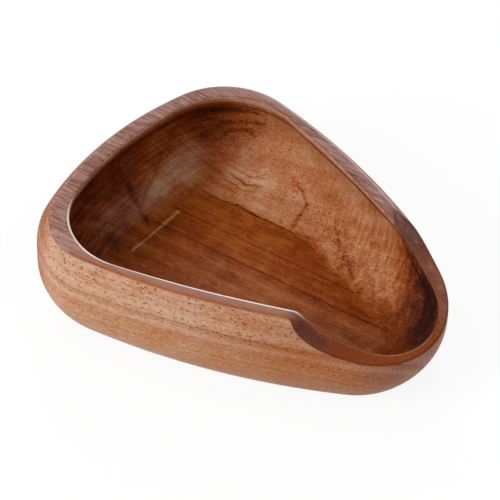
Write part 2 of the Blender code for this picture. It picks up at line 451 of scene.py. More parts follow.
def make_tray_tree():
    """Carries the wall section round the tray as one closed surface."""
    outline_group = make_outline_group()
    scoop_group = make_scoop_group()
    outside_group = make_wall_group("Outside", OUTSIDE_SIZES, outline_group, outside_outline)
    hollow_group = make_wall_group("Hollow", HOLLOW_SIZES, outline_group, hollow_outline)

    tree, size = new_group("Carved tray", TRAY_SIZES, {"Geometry": "NodeSocketGeometry"})
    rows = sum(SECTION_BANDS.values())
    grid = tree.nodes.new("GeometryNodeMeshGrid")
    for name, number in (("Size X", 1), ("Size Y", rows),
                         ("Vertices X", AROUND_STEPS + 1), ("Vertices Y", rows + 1)):
        grid.inputs[name].default_value = number
    grid_x, grid_y, _ = components(Value(tree, tree.nodes.new("GeometryNodeInputPosition").outputs[0]))
    around = grid_x + 0.5
    row = grid_y + rows / 2

    def wall_point(group, height):
        return use_group(tree, group, dict(size, **{"Around": around, "At Height": height}))

    def top_of(group):
        """Where a side of the wall meets the top, found by trying a height and correcting it."""
        height = size["Height"]
        for _ in range(TOP_CORRECTIONS):
            height = use_group(tree, scoop_group, dict(size, X=wall_point(group, height)["X"]))["Top"]
        return height

    outside_top = top_of(outside_group)
    hollow_top = top_of(hollow_group)
    base_middle = combine(tree)
    base_corner = wall_point(outside_group, 0.0)["Point"]
    base_end = between(base_corner, base_middle, size["Base Round"] / distance(base_corner, base_middle))
    wall_start = size["Base Round"]
    wall_stop = outside_top - size["Rim Round"]
    outer_corner = wall_point(outside_group, outside_top)["Point"]
    inner_corner = wall_point(hollow_group, hollow_top)["Point"]
    rim_width = distance(outer_corner, inner_corner)
    rim_start = between(outer_corner, inner_corner, size["Rim Round"] / rim_width)
    rim_stop = between(inner_corner, outer_corner, size["Lip Round"] / rim_width)
    hollow_start = hollow_top - size["Lip Round"]
    hollow_stop = size["Floor Thickness"] + size["Crease Round"] * size["Cove Angle"].cosine()
    floor_middle = combine(tree, z=size["Floor Thickness"])
    floor_corner = wall_point(hollow_group, size["Floor Thickness"])["Point"]
    floor_start = between(floor_corner, floor_middle,
                          size["Crease Round"] / distance(floor_corner, floor_middle))

    drop = size["Hollow Height"] - size["Floor Thickness"]
    rise = size["Height"] - size["Hollow Height"]

    def cove_depth(height):
        """How far down the hollow a height is: 0 at its widest level, 1 at the floor, by turn."""
        below = (size["Hollow Height"] - height).at_least(0) / drop
        above = (height - size["Hollow Height"]).at_least(0) / rise
        return (below * size["Cove Angle"].sine()).math("ARCSINE") / size["Cove Angle"] - above

    def up_the_outside(share):
        eased = (1 - (share * math.pi).cosine()) / 2
        return wall_point(outside_group, wall_start.towards(wall_stop, eased))["Point"]

    def down_the_hollow(share):
        depth = cove_depth(hollow_start).towards(cove_depth(hollow_stop), share)
        below = (depth.at_least(0) * size["Cove Angle"]).sine() / size["Cove Angle"].sine()
        height = size["Hollow Height"] - drop * below + rise * (-depth).at_least(0)
        return wall_point(hollow_group, height)["Point"]

    bands = (
        straight(base_middle, base_end),
        fillet(base_end, base_corner, wall_point(outside_group, wall_start)["Point"]),
        up_the_outside,
        fillet(wall_point(outside_group, wall_stop)["Point"], outer_corner, rim_start),
        straight(rim_start, rim_stop),
        fillet(rim_stop, inner_corner, wall_point(hollow_group, hollow_start)["Point"]),
        down_the_hollow,
        fillet(wall_point(hollow_group, hollow_stop)["Point"], floor_corner, floor_start),
        straight(floor_start, floor_middle),
    )
    first_row, surface, section = 0, base_middle, row * 0
    for shape, count in zip(bands, SECTION_BANDS.values()):
        share = ((row - first_row) / count).in_one()
        choice = tree.nodes.new("GeometryNodeSwitch")
        choice.input_type = 'VECTOR'
        plug(tree, choice.inputs["Switch"], row.math("GREATER_THAN", first_row + 0.5))
        plug(tree, choice.inputs["False"], surface)
        plug(tree, choice.inputs["True"], shape(share))
        surface = Value(tree, choice.outputs[0])
        section = section + share
        first_row += count

    finish_surface(tree, size, grid, surface, {"section": section, "hollow_top": hollow_top})
    return tree


def carve_blank(name):
    """The whole carved tray as one plain mesh."""
    holder = add_object(name, bpy.data.meshes.new(name))
    carving = holder.modifiers.new("Carving", 'NODES')
    carving.node_group = make_tray_tree()
    for socket in carving.node_group.interface.items_tree:
        if socket.name in TRAY_SIZES:
            carving[socket.identifier] = TRAY_SIZES[socket.name]
    mesh = bpy.data.meshes.new_from_object(holder.evaluated_get(bpy.context.evaluated_depsgraph_get()))
    bpy.data.objects.remove(holder)
    return mesh


blank = carve_blank("blank")

# The wood is oiled acacia with a dry sawn rim, drawn pale and pink, which also paints in the sheen on it.
# One shader group gives its colour and relief at any place: growth layers, fibres, pores and marks,
# with painted highlights on the rim's edges and lip, painted sheen, and painted shadow under the lip.
# Places and sizes in the wood are in millimetres, along the grain, across it and up.
MILLIMETRES = 1000
GRAIN_TURN = math.radians(4)
PITH = (0, -45, -20)
# The glue lines' places across the grain are in metres, because the boards are sawn there
GLUE_LINES = (0.0042, 0.0145, 0.0278)
OILED_TONES = (
    (0.00, (0.022, 0.005, 0.003)),
    (0.15, (0.060, 0.012, 0.005)),
    (0.30, (0.125, 0.022, 0.003)),
    (0.45, (0.220, 0.040, 0.003)),
    (0.60, (0.320, 0.086, 0.015)),
    (0.75, (0.385, 0.145, 0.052)),
    (0.90, (0.440, 0.235, 0.128)),
    (1.00, (0.510, 0.320, 0.200)),
)
# Dry, pale-pink tones: the sawn rim's own look, and painted sheen where they are mixed into the rim, walls
# and floor
DRY_AND_SHEEN_TONES = (
    (0.00, (0.030, 0.012, 0.010)),
    (0.30, (0.120, 0.048, 0.038)),
    (0.60, (0.270, 0.140, 0.116)),
    (1.00, (0.440, 0.275, 0.232)),
)
# The pale colour of the highlight painted on the rim's rounded edges
EDGE_HIGHLIGHT = (0.80, 0.68, 0.64, 1)
# Marks of the wood: from, to, width at each end, depth of tone, raggedness
DARK_MARKS = (
    ((-66, 4, 28), (-62, 5.5, 17), 1.5, 2.5, 0.15, 0.3),
    ((-66, 0, 26), (-63.5, 1, 18), 4.0, 4.0, 0.14, 0.3),
    ((-62, 5.5, 17), (-56.6, 3.7, 11), 2.5, 1.5, 0.20, 0.3),
    ((-56.6, 3.7, 11), (-51.3, 1.3, 8.3), 1.2, 1.5, 0.15, 0.3),
    ((-51.6, 1.4, 8.4), (-50.6, 0.8, 8.2), 2.2, 1.8, 0.22, 0.4),
    ((-61.5, 27, 22), (-59.7, 18.4, 15.6), 0.8, 1.4, 0.13, 0.3),
    ((-59.7, 18.4, 15.6), (-56, 4.7, 10.8), 1.4, 1.2, 0.20, 0.3),
    ((-57, -12, 11.5), (-50, -20, 8), 3.0, 4.0, 0.10, 0.5),
    ((-58, 38.6, 28.4), (-52.6, 46.2, 29.8), 1.6, 2.2, 0.20, 0.6),
    ((-52.6, 46.2, 29.8), (-38, 54, 30.4), 2.2, 1.8, 0.30, 0.6),
    ((-54.8, 41.5, 20), (-50.2, 48, 23.8), 1.0, 1.6, 0.14, 0.6),
    ((-50.2, 48, 23.8), (-34.7, 54.5, 25.7), 1.4, 1.1, 0.34, 0.7),
    ((-50.7, 43.4, 16.8), (-46.5, 49.2, 20.7), 1.0, 1.4, 0.12, 0.6),
    ((-46.5, 49.2, 20.7), (-38.9, 52.8, 21.8), 1.2, 0.9, 0.26, 0.7),
    ((-41.1, 52, 21.3), (-38, 52.1, 19.9), 1.3, 1.0, 0.30, 0.8),
    ((-29.9, 29.1, 7), (-19.8, 28.0, 7), 0.9, 0.9, 0.42, 0.3),
    ((-19.8, 28.0, 7), (-6, 28.2, 7), 0.8, 0.5, 0.30, 0.5),
    ((-41.3, 27.1, 7), (-29.9, 29.1, 7), 0.6, 0.7, 0.26, 0.4),
    ((-6, 28.2, 7), (2, 26.5, 7), 0.5, 0.4, 0.16, 0.6),
    ((-1.7, 27.3, 7), (16, 22.2, 7.4), 0.5, 0.4, 0.10, 0.8),
    ((20.7, 10.9, 7), (24.8, 10.6, 7), 0.7, 0.6, 0.24, 0.6),
    ((17.3, 14.8, 7), (24.7, 15.5, 7), 0.5, 0.4, 0.18, 0.6),
    ((34.5, 6.7, 7), (43.7, 6.3, 7), 0.7, 0.4, 0.22, 0.6),
    ((18, 11, 7), (22, 10, 7), 0.5, 0.6, 0.20, 0.6),
    ((-22.6, 47.4, 16), (-16.3, 45.3, 15.8), 0.4, 0.6, 0.05, 0.8),
    ((-16.3, 45.3, 15.8), (-9.3, 42, 14.9), 0.9, 1.0, 0.22, 0.5),
    ((-9.3, 42, 14.9), (-4.9, 38.1, 13), 1.0, 1.1, 0.30, 0.4),
    ((-4.9, 38.1, 13), (-5.1, 34.5, 10.6), 1.1, 1.1, 0.32, 0.4),
    ((-5.1, 34.5, 10.6), (-5.1, 29.9, 8.2), 1.1, 1.6, 0.32, 0.5),
    ((9.6, 35.2, 14.9), (14.2, 29.6, 11.7), 1.0, 1.6, 0.18, 0.6),
    ((14.2, 29.6, 11.7), (24.2, 22.8, 9.9), 1.6, 2.2, 0.24, 0.6),
    ((24.2, 22.8, 9.9), (27, 19.8, 8.8), 2.2, 2.4, 0.24, 0.6),
    ((63, 7.2, 14.3), (70, 0, 17), 5.0, 5.0, 0.14, 0.4),
    ((39, -33.8, 34.7), (46.6, -32.8, 30), 3.5, 3.5, 0.12, 0.3),
    ((53.5, 14.5, 14.8), (60.5, 4, 11), 0.9, 1.1, 0.18, 0.4),
    ((58, 19, 25), (66, 9, 18), 3.5, 5.0, 0.14, 0.4),
    ((-57, 40, 30), (-37, 54, 31), 5.0, 5.5, 0.14, 0.5),
    ((-52, 44, 19), (-37, 53.5, 23), 6.0, 6.5, 0.14, 0.5),
    ((71, 5, 22), (71.4, 4.2, 22), 0.7, 0.7, 0.40, 0.3),
)
PALE_MARKS = (
    ((-47.3, -13, 7), (-45.5, 14.2, 7), 0.7, 1.1, 0.44, 0.1),
    ((-49.5, -24, 7), (-47.3, -13, 7), 0.6, 0.7, 0.12, 0.2),
    ((32, 25, 14), (42, 13.7, 9.4), 1.5, 2.5, 0.07, 0.4),
    ((-3, 38, 13.4), (8, 34.4, 13.6), 5.0, 6.0, 0.06, 0.4),
    ((-35, 40, 10.3), (-27, 41, 11), 8.0, 9.0, 0.21, 0.3),
    ((47, 23, 20), (56, 15.5, 16.5), 5.5, 5.0, 0.12, 0.8),
    # These five broad pale marks on the inside of the end wall are painted sheen
    ((-57, 17, 12), (-54, 31, 13), 8.0, 10.0, 0.21, 0.3),
    ((-58, 14, 14), (-54, 27, 12), 6.0, 9.0, 0.08, 0.3),
    ((-55, 36, 16), (-58, 33, 19), 8.0, 8.0, 0.14, 0.4),
    ((-57, -10, 10.5), (-54, 14, 10), 6.5, 7.0, 0.24, 0.4),
    ((-61, -12, 15), (-60, 1, 14), 5.0, 5.0, 0.12, 0.4),
    ((-50, -6, 8.2), (-48, 12, 8), 2.5, 3.0, 0.13, 0.4),
    ((-20, 41, 12), (-10, 36, 10), 7.0, 7.0, 0.03, 0.3),
    ((52, 19, 20), (59, 15, 18), 1.5, 2.5, 0.10, 0.9),
    ((46.6, 28, 31.8), (48.6, 27, 31.8), 1.3, 1.3, 0.16, 0.6),
    ((55.5, 24, 27.5), (57.5, 23, 27.5), 1.3, 1.3, 0.18, 0.6),
    ((63.4, 18.5, 24.9), (64.8, 17.5, 24.9), 1.2, 1.2, 0.14, 0.6),
    ((-63, -43, 36), (-53, -52, 34.6), 1.5, 2.5, 0.12, 0.3),
    ((-11, 49, 26), (36, 29, 26.5), 7.0, 7.0, 0.06, 0.4),
)
STIPPLED = (
    ((4, 36, 14.5), (22, 22, 9.5), 8.0, 9.0, 0.34, 0.4),
    ((-12, 41, 14), (-8.5, 32, 9), 7.0, 6.0, 0.30, 0.5),
    ((22, 27, 12), (40, 17, 9), 7.0, 7.0, 0.24, 0.5),
    ((-44, 47, 20), (-37, 52, 23), 6.0, 5.0, 0.32, 0.5),
)
# Painted sheen on the inside of the end wall, in the same columns: it turns the wood towards the dry pale
# tones
PAINTED_SHEEN = (
    ((-57, 24, 12), (-54, 33, 14), 6.0, 7.0, 0.14, 0.2),
    ((-60, -14, 14), (-57, 8, 12), 7.0, 7.0, 0.36, 0.2),
    ((-54, 35, 15), (-52, 39, 15), 5.0, 6.0, 0.12, 0.2),
)
BURL = (
    ((-36, 38, 9.5), (-30, 39.3, 11), 6.5, 6.5, 1.0, 0.1),
)
MARK_ENDS = ("From Along", "From Across", "From Up", "To Along", "To Across", "To Up")
RIPPLE_PITCH = 2.4
DASH_DIP = 0.18
GLUE_STAIN = 0.4
# The share of a pore's size that is fully open
PORE_CORE = 0.55
# Dark growth layers: distance from the pith, half width and depth of tone
DARK_LAYERS = ((48.6, 0.7, 0.15), (53.6, 0.45, 0.14), (43.5, 1.2, 0.05))


def noise(vector, stretch, detail=2.0, roughness=0.5, phase=0.0, colour=False):
    """Even noise from 0 to 1. The stretch is in cells per millimetre, along, across and up."""
    tree = vector.tree
    node = tree.nodes.new("ShaderNodeTexNoise")
    node.noise_dimensions = '4D'
    plug(tree, node.inputs["Vector"], vector_math('MULTIPLY', vector, stretch))
    plug(tree, node.inputs["W"], phase)
    for name, number in (("Scale", 1.0), ("Detail", detail), ("Roughness", roughness)):
        node.inputs[name].default_value = number
    return Value(tree, node.outputs["Color" if colour else "Fac"])


def layers(distance, per_millimetre, detail, roughness):
    """Bands that change with one distance only, as growth layers do."""
    tree = distance.tree
    node = tree.nodes.new("ShaderNodeTexNoise")
    node.noise_dimensions = '1D'
    plug(tree, node.inputs["W"], distance)
    for name, number in (("Scale", per_millimetre), ("Detail", detail), ("Roughness", roughness)):
        node.inputs[name].default_value = number
    return Value(tree, node.outputs["Fac"])


def make_pore_group():
    """Pores that the surface cuts open: short dark dashes along the grain, one to a cell."""
    group, given = new_group("Cut pores", ("X", "Y", "Z", "Cell Length", "Cell Width", "Size"),
                             {"Open": "NodeSocketFloat"}, 'ShaderNodeTree')
    cells = group.nodes.new("ShaderNodeTexVoronoi")
    cells.inputs["Scale"].default_value = 1
    plug(group, cells.inputs["Vector"], combine(group, given["X"] / given["Cell Length"],
                                                given["Y"] / given["Cell Width"],
                                                given["Z"] / given["Cell Width"]))
    from_middle = Value(group, cells.outputs["Distance"])
    finish_group(group, Open=from_middle.ease(given["Size"], given["Size"] * PORE_CORE))
    return group


def make_mark_group():
    """A soft mark along a straight line between two places in the wood."""
    group, given = new_group("Mark in the wood", ("X", "Y", "Z") + MARK_ENDS + ("From Width", "To Width"),
                             {"Mark": "NodeSocketFloat"}, 'ShaderNodeTree')
    place = combine(group, given["X"], given["Y"], given["Z"])
    start = combine(group, *[given[name] for name in MARK_ENDS[:3]])
    stop = combine(group, *[given[name] for name in MARK_ENDS[3:]])
    line = vector_math('SUBTRACT', stop, start)
    reach = vector_math('SUBTRACT', place, start)
    share = (vector_math('DOT_PRODUCT', reach, line, "Value")
             / vector_math('DOT_PRODUCT', line, line, "Value")).in_one()
    nearest = vector_math('SCALE', line, share)
    aside = vector_math('DISTANCE', reach, nearest, "Value")
    width = given["From Width"].towards(given["To Width"], share)
    finish_group(group, Mark=(1 - (aside / width) ** 2).at_least(0) ** 1.5)
    return group


def add_marks(mark_group, marks, place, speckle):
    """The sum of a list of marks, each as deep and as ragged as the list says."""
    tree = place["X"].tree
    total = place["X"] * 0
    for start, stop, from_width, to_width, depth, ragged in marks:
        ends = dict(zip(MARK_ENDS, start + stop))
        widths = {"From Width": from_width, "To Width": to_width}
        mark = use_group(tree, mark_group, {**place, **ends, **widths})["Mark"]
        total = total + mark * (1 - speckle * ragged) * depth
    return total


def colour_ramp(tree, tone, stops):
    """The colour of a tone, from a list of tones and their colours."""
    ramp = tree.nodes.new("ShaderNodeValToRGB")
    while len(ramp.color_ramp.elements) < len(stops):
        ramp.color_ramp.elements.new(0.5)
    for element, (position, colour) in zip(ramp.color_ramp.elements, stops):
        element.position = position
        element.color = (*colour, 1)
    plug(tree, ramp.inputs[0], tone)
    return Value(tree, ramp.outputs[0])


def read_attribute(tree, name):
    """A number that the carving kept at each place of its surface."""
    node = tree.nodes.new("ShaderNodeAttribute")
    node.attribute_name = name
    return Value(tree, node.outputs["Fac"])


def scatter(vector, stretch, reach, detail=2.0):
    """Moves places about by noise, up to half the reach each way."""
    drawn = noise(vector, stretch, detail=detail, colour=True)
    moved = vector_math('MULTIPLY', vector_math('SUBTRACT', drawn, (0.5, 0.5, 0.5)), reach)
    return vector_math('ADD', vector, moved)


def read_places(group):
    """Where a place is in the wood, and where it is on the tray's wall."""
    turned = group.nodes.new("ShaderNodeMapping")
    turned.inputs["Rotation"].default_value = (0, 0, -GRAIN_TURN)
    turned.inputs["Scale"].default_value = (MILLIMETRES, MILLIMETRES, MILLIMETRES)
    group.links.new(group.nodes.new("ShaderNodeTexCoord").outputs["Object"], turned.inputs["Vector"])
    straight = Value(group, turned.outputs[0])
    wood = scatter(straight, (0.010, 0.035, 0.035), (0, 4, 4))
    along, across, up = components(straight)
    rings = vector_math('MULTIPLY', vector_math('SUBTRACT', wood, PITH), (0, 1, 1))
    return SimpleNamespace(
        straight=straight, wood=wood, along=along, across=across, up=up,
        radius=vector_math('LENGTH', rings, (0, 0, 0), "Value"),
        section=read_attribute(group, "section"),
        below_rim=read_attribute(group, "hollow_top") * MILLIMETRES - up)


def find_zones(at):
    """Which part of the tray a place is on: each zone is 1 there and fades to 0 beyond it."""
    section, along, across, up = at.section, at.along, at.across, at.up
    inside = section.ease(4.97, 5.07)
    back = along.ease(-38, -50)
    near = across.ease(8, -10) * (1 - back)
    outside = section.ease(3.08 + near * 0.42, 2.98 + near * 0.17)
    rim = (1 - inside) * (1 - outside)
    floor = section.ease(6.87, 7.0)
    walls = inside * (1 - floor)

    # The far wall's paler wood starts at its foot, which turns in towards the pouring lip
    foot = 27.5 - (along - 2).at_least(0) * 0.42
    foot_wander = (noise(at.straight, (0.12, 0.12, 0.12), detail=4.0, roughness=0.7) - 0.5) * 24
    foot_width = 2.0 + along.ease(0, 25) * 4
    far_wall = (across - foot + foot_wander * along.ease(-5, 15)).ease(-1.2, foot_width)
    return SimpleNamespace(
        inside=inside, outside=outside, rim=rim, floor=floor, walls=walls, back=back, near=near,
        # The near part of the floor is painted paler and pinker, as a sheen
        floor_sheen=floor * across.ease(6, -2) * along.ease(-42, -14),
        end_wall=walls * along.ease(-42, -52),
        far_wall=inside * far_wall * along.ease(-52, -38),
        tip=(along + across * 0.6).ease(53, 67),
        spout=rim * along.ease(33, 38),
        lowered=along.ease(33, 40),
        far=across.ease(0, 16) * (1 - back),
        upper_band=outside * up.ease(24.5, 28.5) * along.ease(60, 40),
        # The near side of the rim's inner edge, where a highlight is painted and the wood is less rough
        near_edge_highlight=across.ease(-16 - back * 9, -31 - back * 9) * (1 - back * 0.25)
        * section.within(4.90 + back * 0.06, 5.7 - back * 0.3, 0.06))


def find_figure(at, shift):
    """The wood's growth layers, fibres, pores and curl."""
    straight, wood, along, across, up = at.straight, at.wood, at.along, at.across, at.up
    tree = along.tree
    pore_group = make_pore_group()

    def pores(height, length, width, size):
        place = {"X": along, "Y": across, "Z": height}
        return use_group(tree, pore_group, {**place, "Cell Length": length, "Cell Width": width,
                                            "Size": size})["Open"]

    curled = scatter(wood, (0.14, 0.10, 0.10), (0, 3, 3))
    return SimpleNamespace(
        broad_layers=layers(at.radius, 0.30, 2.0, 0.5) - 0.5,
        fine_layers=layers(at.radius, 1.5, 2.5, 0.6) - 0.5,
        dark_layers=sum(at.radius.near(place, reach) * depth for place, reach, depth in DARK_LAYERS),
        fibres=noise(wood, (0.04, 1.0, 1.0), detail=3.0, roughness=0.7, phase=shift) - 0.5,
        fine_fibres=noise(wood, (0.20, 3.0, 3.0), roughness=0.7, phase=shift) - 0.5,
        speckle=noise(straight, (0.9, 1.6, 1.6), roughness=0.7).ease(0.42, 0.58),
        grit=noise(straight, (0.55, 1.4, 1.4), roughness=0.8).ease(0.36, 0.64) - 0.5,
        clouds=noise(straight, (0.05, 0.07, 0.07)) - 0.5,
        blotches=noise(straight, (0.10, 0.13, 0.13), detail=3.0, roughness=0.6) - 0.5,
        level_streaks=noise(straight, (0.15, 0.05, 0.9), detail=3.0, roughness=0.7).ease(0.3, 0.7) - 0.5,
        rim_grain=noise(curled, (0.05, 0.9, 0.9), detail=3.0, roughness=0.75,
                        phase=shift).ease(0.36, 0.62) - 0.5,
        brushed=noise(straight, (0.65, 0.30, 0.10), roughness=0.6).ease(0.3, 0.7) - 0.5,
        curl=noise(straight, (0.45, 0.06, 0.05), detail=2.5, roughness=0.6).ease(0.3, 0.7) - 0.5,
        dashes=pores(up + along * DASH_DIP, 3.2, 0.85, 0.27),
        specks=pores(up, 2.1, 1.1, 0.27),
        stipple=pores(up, 1.5, 0.8, 0.36),
        floor_pores=pores(up, 6.0, 0.9, 0.32))


def find_marks(at, speckle):
    """The tray's dark, pale and stippled places, a painted sheen on its end wall, and the ripples of its
    small burl.
    """
    mark_group = make_mark_group()
    ragged = scatter(at.wood, (0.25, 0.4, 0.4), (1.6, 1.6, 1.6))
    place = dict(zip("XYZ", components(ragged)))
    burl = add_marks(mark_group, BURL, place, speckle)
    waves = noise(at.straight, (0.14, 0.10, 0.10)) * 5
    ripples = ((at.across + waves) * (math.tau / RIPPLE_PITCH)).sine().ease(0.25, 0.95) * burl
    return SimpleNamespace(
        dark=add_marks(mark_group, DARK_MARKS, place, speckle),
        pale=add_marks(mark_group, PALE_MARKS, place, speckle),
        stippled=add_marks(mark_group, STIPPLED, place, speckle),
        painted_sheen=add_marks(mark_group, PAINTED_SHEEN, place, speckle),
        ripples=ripples)


def find_plain_tone(at, zone):
    """The tone of each part of the tray, without its lip and grain: outside, rim and hollow."""
    along, across, up, section = at.along, at.across, at.up, at.section
    tone = 0.88 - along.ease(-30, 70) * 0.16 + up.ease(22, 30) * 0.08 - along.ease(-50, -72) * 0.33
    tone = tone - along.ease(-54, -62) * 0.08
    tone = tone - along.ease(15, 38) * along.ease(68, 54) * up.ease(8, 16) * 0.04
    tone = tone.towards(0.58 + zone.near * 0.07 - section.near(3.8, 0.5) * zone.near * 0.10, zone.rim)
    tone = tone.towards(0.40 + along.ease(50, 64) * 0.07, zone.spout)
    tone = tone.towards(0.42, zone.inside)
    # The floor, with a painted sheen on its near part
    tone = tone + zone.floor * 0.03 + zone.floor_sheen * 0.07
    tone = tone + zone.far_wall * 0.28 * (1 - zone.tip)
    tone = tone - zone.end_wall * (0.15 - across.ease(-15, 28) * 0.17)
    tone = tone + zone.end_wall * across.ease(-38, -22) * at.below_rim.ease(15, 22) * 0.07
    tone = tone - zone.walls * zone.tip * 0.30
    tone = tone - zone.spout * section.near(3.7, 0.4) * 0.10
    # The lowered lip's inner edge gets a warm pale line: a painted highlight
    return tone + zone.lowered * section.within(5.05, 5.7, 0.1) * 0.20


def shade_lip(tone, at, zone, speckle):
    """Paints a highlight on the rim's lip, so that it is paler than the hollow, and painted shadow under it
    on the far side and at the back, with a thin dark line along the rim's inner edge.
    """
    along, section = at.along, at.section
    below = at.below_rim - zone.far * (1.4 - along.ease(-10, 35) * 0.7)
    lip = zone.inside * below.ease(4.6, 4.0) * (1 - zone.near)
    # The lip's pale tone is a painted highlight on its rounded edge, and its steps down are painted shade
    # towards the undercut
    lip_tone = 0.56 + zone.back * 0.18 - below.ease(1.0, 1.6) * 0.11 - below.ease(2.4, 3.6) * 0.06
    far_lip_highlight = 0.42 - below.ease(2.5, 3.1) * 0.24 - speckle * 0.08 - along.ease(-10, 25) * 0.12
    tone = tone.towards(lip_tone + zone.far * far_lip_highlight, lip * (1 - zone.lowered))
    far_side = zone.far * zone.inside
    # Painted shadow in the undercut under the lip, along the far side and at the back
    undercut_shadow = below.within(2.9, 3.6 + along.ease(-20, 30) * 0.7, 0.25) * far_side
    under_lip_shadow = below.within(4.4, 6.8, 0.6) * zone.back * zone.inside
    tone = tone - undercut_shadow * (0.06 + along.ease(-20, 30) * 0.18) - under_lip_shadow * 0.14
    # A pale line on the wall's edge below the far side's undercut: a painted highlight
    tone = tone + below.near(4.2, 0.6) * far_side * along.ease(-5, 15) * 0.14
    rim_line = section.within(4.93 - zone.back * 0.02, 5.5 + zone.far * 0.4 - zone.back * 0.25, 0.10)
    return tone - rim_line * (1 - zone.near) * (1 - zone.spout) * (0.16 + zone.far * 0.06)


def find_grain(at, zone, figure):
    """How the fibres and layers darken and lighten each part of the tray."""
    along = at.along
    hushed = zone.floor * 0.25 + zone.outside * 0.20 + zone.end_wall * 0.30
    grain = figure.fibres * (0.50 - zone.far_wall * 0.15 - hushed) + figure.fine_fibres * (0.60 - hushed)
    grain = grain + figure.broad_layers * 0.20
    grain = grain + figure.fine_layers * (0.30 - zone.far_wall * 0.20 - zone.floor * 0.15)
    grain = grain + figure.clouds * 0.26 + figure.blotches * zone.inside * 0.30
    grain = grain + figure.grit * (zone.outside * 0.14 + zone.inside * 0.08)
    grain = grain + figure.brushed * zone.far_wall * (0.08 + along.ease(0, 25) * 0.12)
    grain = grain + figure.level_streaks * zone.end_wall * 0.26
    grain = grain + figure.curl * zone.inside * along.ease(38, 52) * 0.13
    return grain * (1 - zone.rim * zone.near * 0.6) * (1 - zone.spout * 0.35)


def find_tone(at, zone, figure, marks, board_tone):
    """How dark or pale the wood is: 0 is nearly black and 1 is the palest."""
    tone = shade_lip(find_plain_tone(at, zone), at, zone, figure.speckle)
    tone = tone + board_tone * zone.inside + find_grain(at, zone, figure)
    tone = tone - zone.outside * figure.dark_layers
    tone = tone - figure.dashes * zone.upper_band * 0.45
    tone = tone - figure.specks * (zone.outside * 0.16 + zone.far_wall * 0.22 + zone.inside * 0.03)
    tone = tone - figure.floor_pores * zone.floor * 0.12
    tone = tone - figure.stipple * marks.stippled
    tone = tone + figure.rim_grain * zone.rim * (0.34 - zone.near * 0.26) * (1 - zone.spout)
    tone = tone - marks.ripples * 0.36 - marks.dark + marks.pale
    glue = sum(at.across.near(line * MILLIMETRES, GLUE_STAIN) for line in GLUE_LINES)
    return tone - glue * zone.floor * (0.17 + figure.speckle * 0.12)


def find_dryness_and_sheen(at, zone, figure, marks):
    """How dry, pale and pink the wood looks, with painted sheen and painted light: the sawn rim most, the
    oiled floor least.
    """
    # The rim's pale pink is partly its sawn surface and partly a painted sheen
    near_rim = 0.48 + at.section.ease(4.2, 4.7) * 0.40 - at.section.near(3.6, 0.5) * 0.45
    rim = (zone.rim * 0.95).towards(near_rim, zone.rim * zone.near)
    rim = rim.towards(0.10 + at.along.ease(54, 44) * 0.38 + at.across.ease(0, 10) * 0.40, zone.spout)
    # up.ease(12, 2) makes the foot of the outside paler: painted light thrown up by the white table
    outside = 0.10 + at.up.ease(12, 2) * 0.25 + at.along.ease(56, 72) * 0.45 + figure.clouds * 0.7
    outside = outside + at.along.ease(-35, -60) * 0.10 + at.up.ease(20, 28) * 0.12
    end_wall = at.below_rim.ease(5, 14) * 0.08
    lip = zone.inside * at.below_rim.ease(1.4 + zone.back * 0.8, 0.9) * (1 - zone.near)
    # The walls' haze is painted sheen, and the pale lip a painted highlight
    return (rim + zone.outside * outside + zone.end_wall * end_wall + zone.far_wall * 0.10
            + zone.floor_sheen * 0.12 + zone.walls * marks.painted_sheen + lip * (1 - zone.lowered) * 0.35).in_one()


def find_edge_highlight(at, zone):
    """Where a highlight is painted pale on the rim's edges: most on the near side, along the outer edge on
    the far side, and faintly round the lip.
    """
    on_lip = at.section.within(5.1, 5.6, 0.12) * zone.near * at.along.ease(56, 66) * 0.14
    outer_edge_highlight = at.section.within(3.2, 3.7, 0.15) * zone.far * 0.50
    return ((zone.near_edge_highlight + outer_edge_highlight) * (1 - zone.lowered) + on_lip * zone.lowered).in_one()


def mix_colours(tree, one, other, share):
    """One colour turned towards another by a share."""
    mix = tree.nodes.new("ShaderNodeMix")
    mix.data_type = 'RGBA'
    plug(tree, mix.inputs["Factor"], share)
    plug(tree, mix.inputs[6], one)
    plug(tree, mix.inputs[7], other)
    return Value(tree, mix.outputs[2])


def make_acacia_group():
    """The wood's colour, roughness and relief at any place in the tray."""
    group, given = new_group("Acacia", ("Tone", "Shift"),
                             {"Color": "NodeSocketColor", "Roughness": "NodeSocketFloat",
                              "Relief": "NodeSocketFloat"}, 'ShaderNodeTree')
    at = read_places(group)
    zone = find_zones(at)
    figure = find_figure(at, given["Shift"])
    marks = find_marks(at, figure.speckle)
    tone = find_tone(at, zone, figure, marks, given["Tone"])
    wood = mix_colours(group, colour_ramp(group, tone, OILED_TONES), colour_ramp(group, tone, DRY_AND_SHEEN_TONES),
                       find_dryness_and_sheen(at, zone, figure, marks))
    # A painted highlight on the rim's edges
    wood = mix_colours(group, wood, EDGE_HIGHLIGHT, find_edge_highlight(at, zone))
    open_pores = figure.dashes * zone.upper_band
    finish_group(group, Color=wood,
                 Roughness=(0.42 + figure.fibres * 0.15 + zone.rim * 0.12 - zone.near_edge_highlight * 0.15
                            + open_pores * 0.2).in_one(),
                 Relief=(figure.fibres * 0.05 + figure.fine_fibres * 0.04 - open_pores * 0.10
                         - figure.specks * 0.03 + figure.rim_grain * zone.rim * 0.05))
    return group


acacia = make_acacia_group()
RELIEF_DISTANCE = 0.001
SATIN = 0.04


